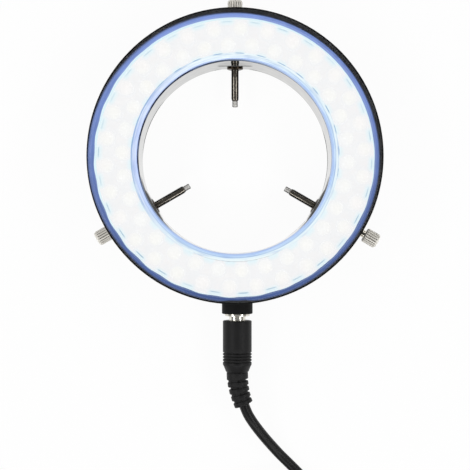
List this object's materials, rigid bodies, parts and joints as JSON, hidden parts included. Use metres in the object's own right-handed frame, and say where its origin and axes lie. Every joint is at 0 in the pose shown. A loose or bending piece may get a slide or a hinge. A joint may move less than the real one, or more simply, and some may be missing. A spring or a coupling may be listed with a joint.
{
  "type": "microscope ring light",
  "caption": "Ring light that clamps round a microscope objective with three thumbscrews, two rows of lamps under a clear window, and a plug-in supply lead.",
  "frame": {"origin": "on the bore axis, at the back face that the ring lies on", "axes": "+Z the way the light shines, -Y towards the supply socket"},
  "size_m": [0.0986, 0.23, 0.025],
  "materials": {
    "housing_plastic": "satin black moulded plastic",
    "window_clear": "clear moulded plastic, edges lit blue by the lamps",
    "sleeve_metal": "bright turned aluminium",
    "bush_metal": "dark oxide",
    "board_white": "white solder mask",
    "lamp_resin": "clear resin over a lit warm white chip",
    "resistor_black": "black chip bodies",
    "pillar_brass": "turned brass",
    "screw_steel": "black oxide steel",
    "bright_metal": "bright nickel plate",
    "inner_plastic": "black plastic",
    "wire_jacket": "red wire jacket",
    "tip_metal": "pale dull brass",
    "shaft_steel": "dark brown black oxide steel, oiled",
    "knob_nickel": "warm nickel plate over brass",
    "plug_plastic": "black moulded plastic",
    "cord_jacket": "satin black cord jacket",
    "tie_plastic": "black tie",
    "tongue_plastic": "white plastic",
    "contact_brass": "gold flashed contacts"
  },
  "bodies": {
    "ring": {"housing": "housing_plastic", "window": "window_clear", "sleeve": "sleeve_metal", "bush_top": "bush_metal", "bush_left": "bush_metal", "bush_right": "bush_metal", "circuit_board": "board_white", "lamps_outer": "lamp_resin", "lamps_inner": "lamp_resin", "resistors": "resistor_black", "board_pillars": "pillar_brass", "back_screws": "screw_steel", "socket_shell": "bright_metal", "socket_insulator": "inner_plastic", "socket_pin": "bright_metal", "feed_wires": "wire_jacket"},
    "tip_top": {"tip_top": "tip_metal"},
    "screw_top": {"shaft_top": "shaft_steel", "knob_top": "knob_nickel"},
    "tip_left": {"tip_left": "tip_metal"},
    "screw_left": {"shaft_left": "shaft_steel", "knob_left": "knob_nickel"},
    "tip_right": {"tip_right": "tip_metal"},
    "screw_right": {"shaft_right": "shaft_steel", "knob_right": "knob_nickel"},
    "lead": {"plug_body": "plug_plastic", "plug_barrel": "bright_metal", "plug_insulator": "inner_plastic", "strain_relief": "plug_plastic", "cord": "cord_jacket", "cord_coil": "cord_jacket", "cord_tail": "cord_jacket", "cord_tie": "tie_plastic", "end_plug_relief": "plug_plastic", "end_plug_body": "plug_plastic", "end_plug_shell": "bright_metal", "end_plug_tongue": "tongue_plastic", "end_plug_contacts": "contact_brass"}
  },
  "joints": [
    {"name": "travel_top", "type": "slide", "parent": "ring", "child": "tip_top", "axis": [0, -1, 0], "range_m": [-0.0125, 0.0009]},
    {"name": "turn_top", "type": "hinge", "parent": "tip_top", "child": "screw_top", "pos_m": [0, 0.032, 0.0055], "axis": [0, -1, 0], "range_deg": [-10005, 725]},
    {"name": "travel_left", "type": "slide", "parent": "ring", "child": "tip_left", "axis": [0.866, 0.5, 0], "range_m": [-0.0126, 0.0008]},
    {"name": "turn_left", "type": "hinge", "parent": "tip_left", "child": "screw_left", "pos_m": [-0.02771, -0.016, 0.0055], "axis": [0.866, 0.5, 0], "range_deg": [-10085, 645]},
    {"name": "travel_right", "type": "slide", "parent": "ring", "child": "tip_right", "axis": [-0.866, 0.5, 0], "range_m": [-0.0108, 0.0026]},
    {"name": "turn_right", "type": "hinge", "parent": "tip_right", "child": "screw_right", "pos_m": [0.02771, -0.016, 0.0055], "axis": [-0.866, 0.5, 0], "range_deg": [-8645, 2085]},
    {"name": "plug_pull", "type": "slide", "parent": "ring", "child": "lead", "axis": [0, -1, 0], "range_m": [-0.0013, 0.012]}
  ],
  "couplings": [
    {"joint": "turn_top", "follows": "travel_top", "rad_per_m": 13963},
    {"joint": "turn_left", "follows": "travel_left", "rad_per_m": 13963},
    {"joint": "turn_right", "follows": "travel_right", "rad_per_m": 13963}
  ]
}
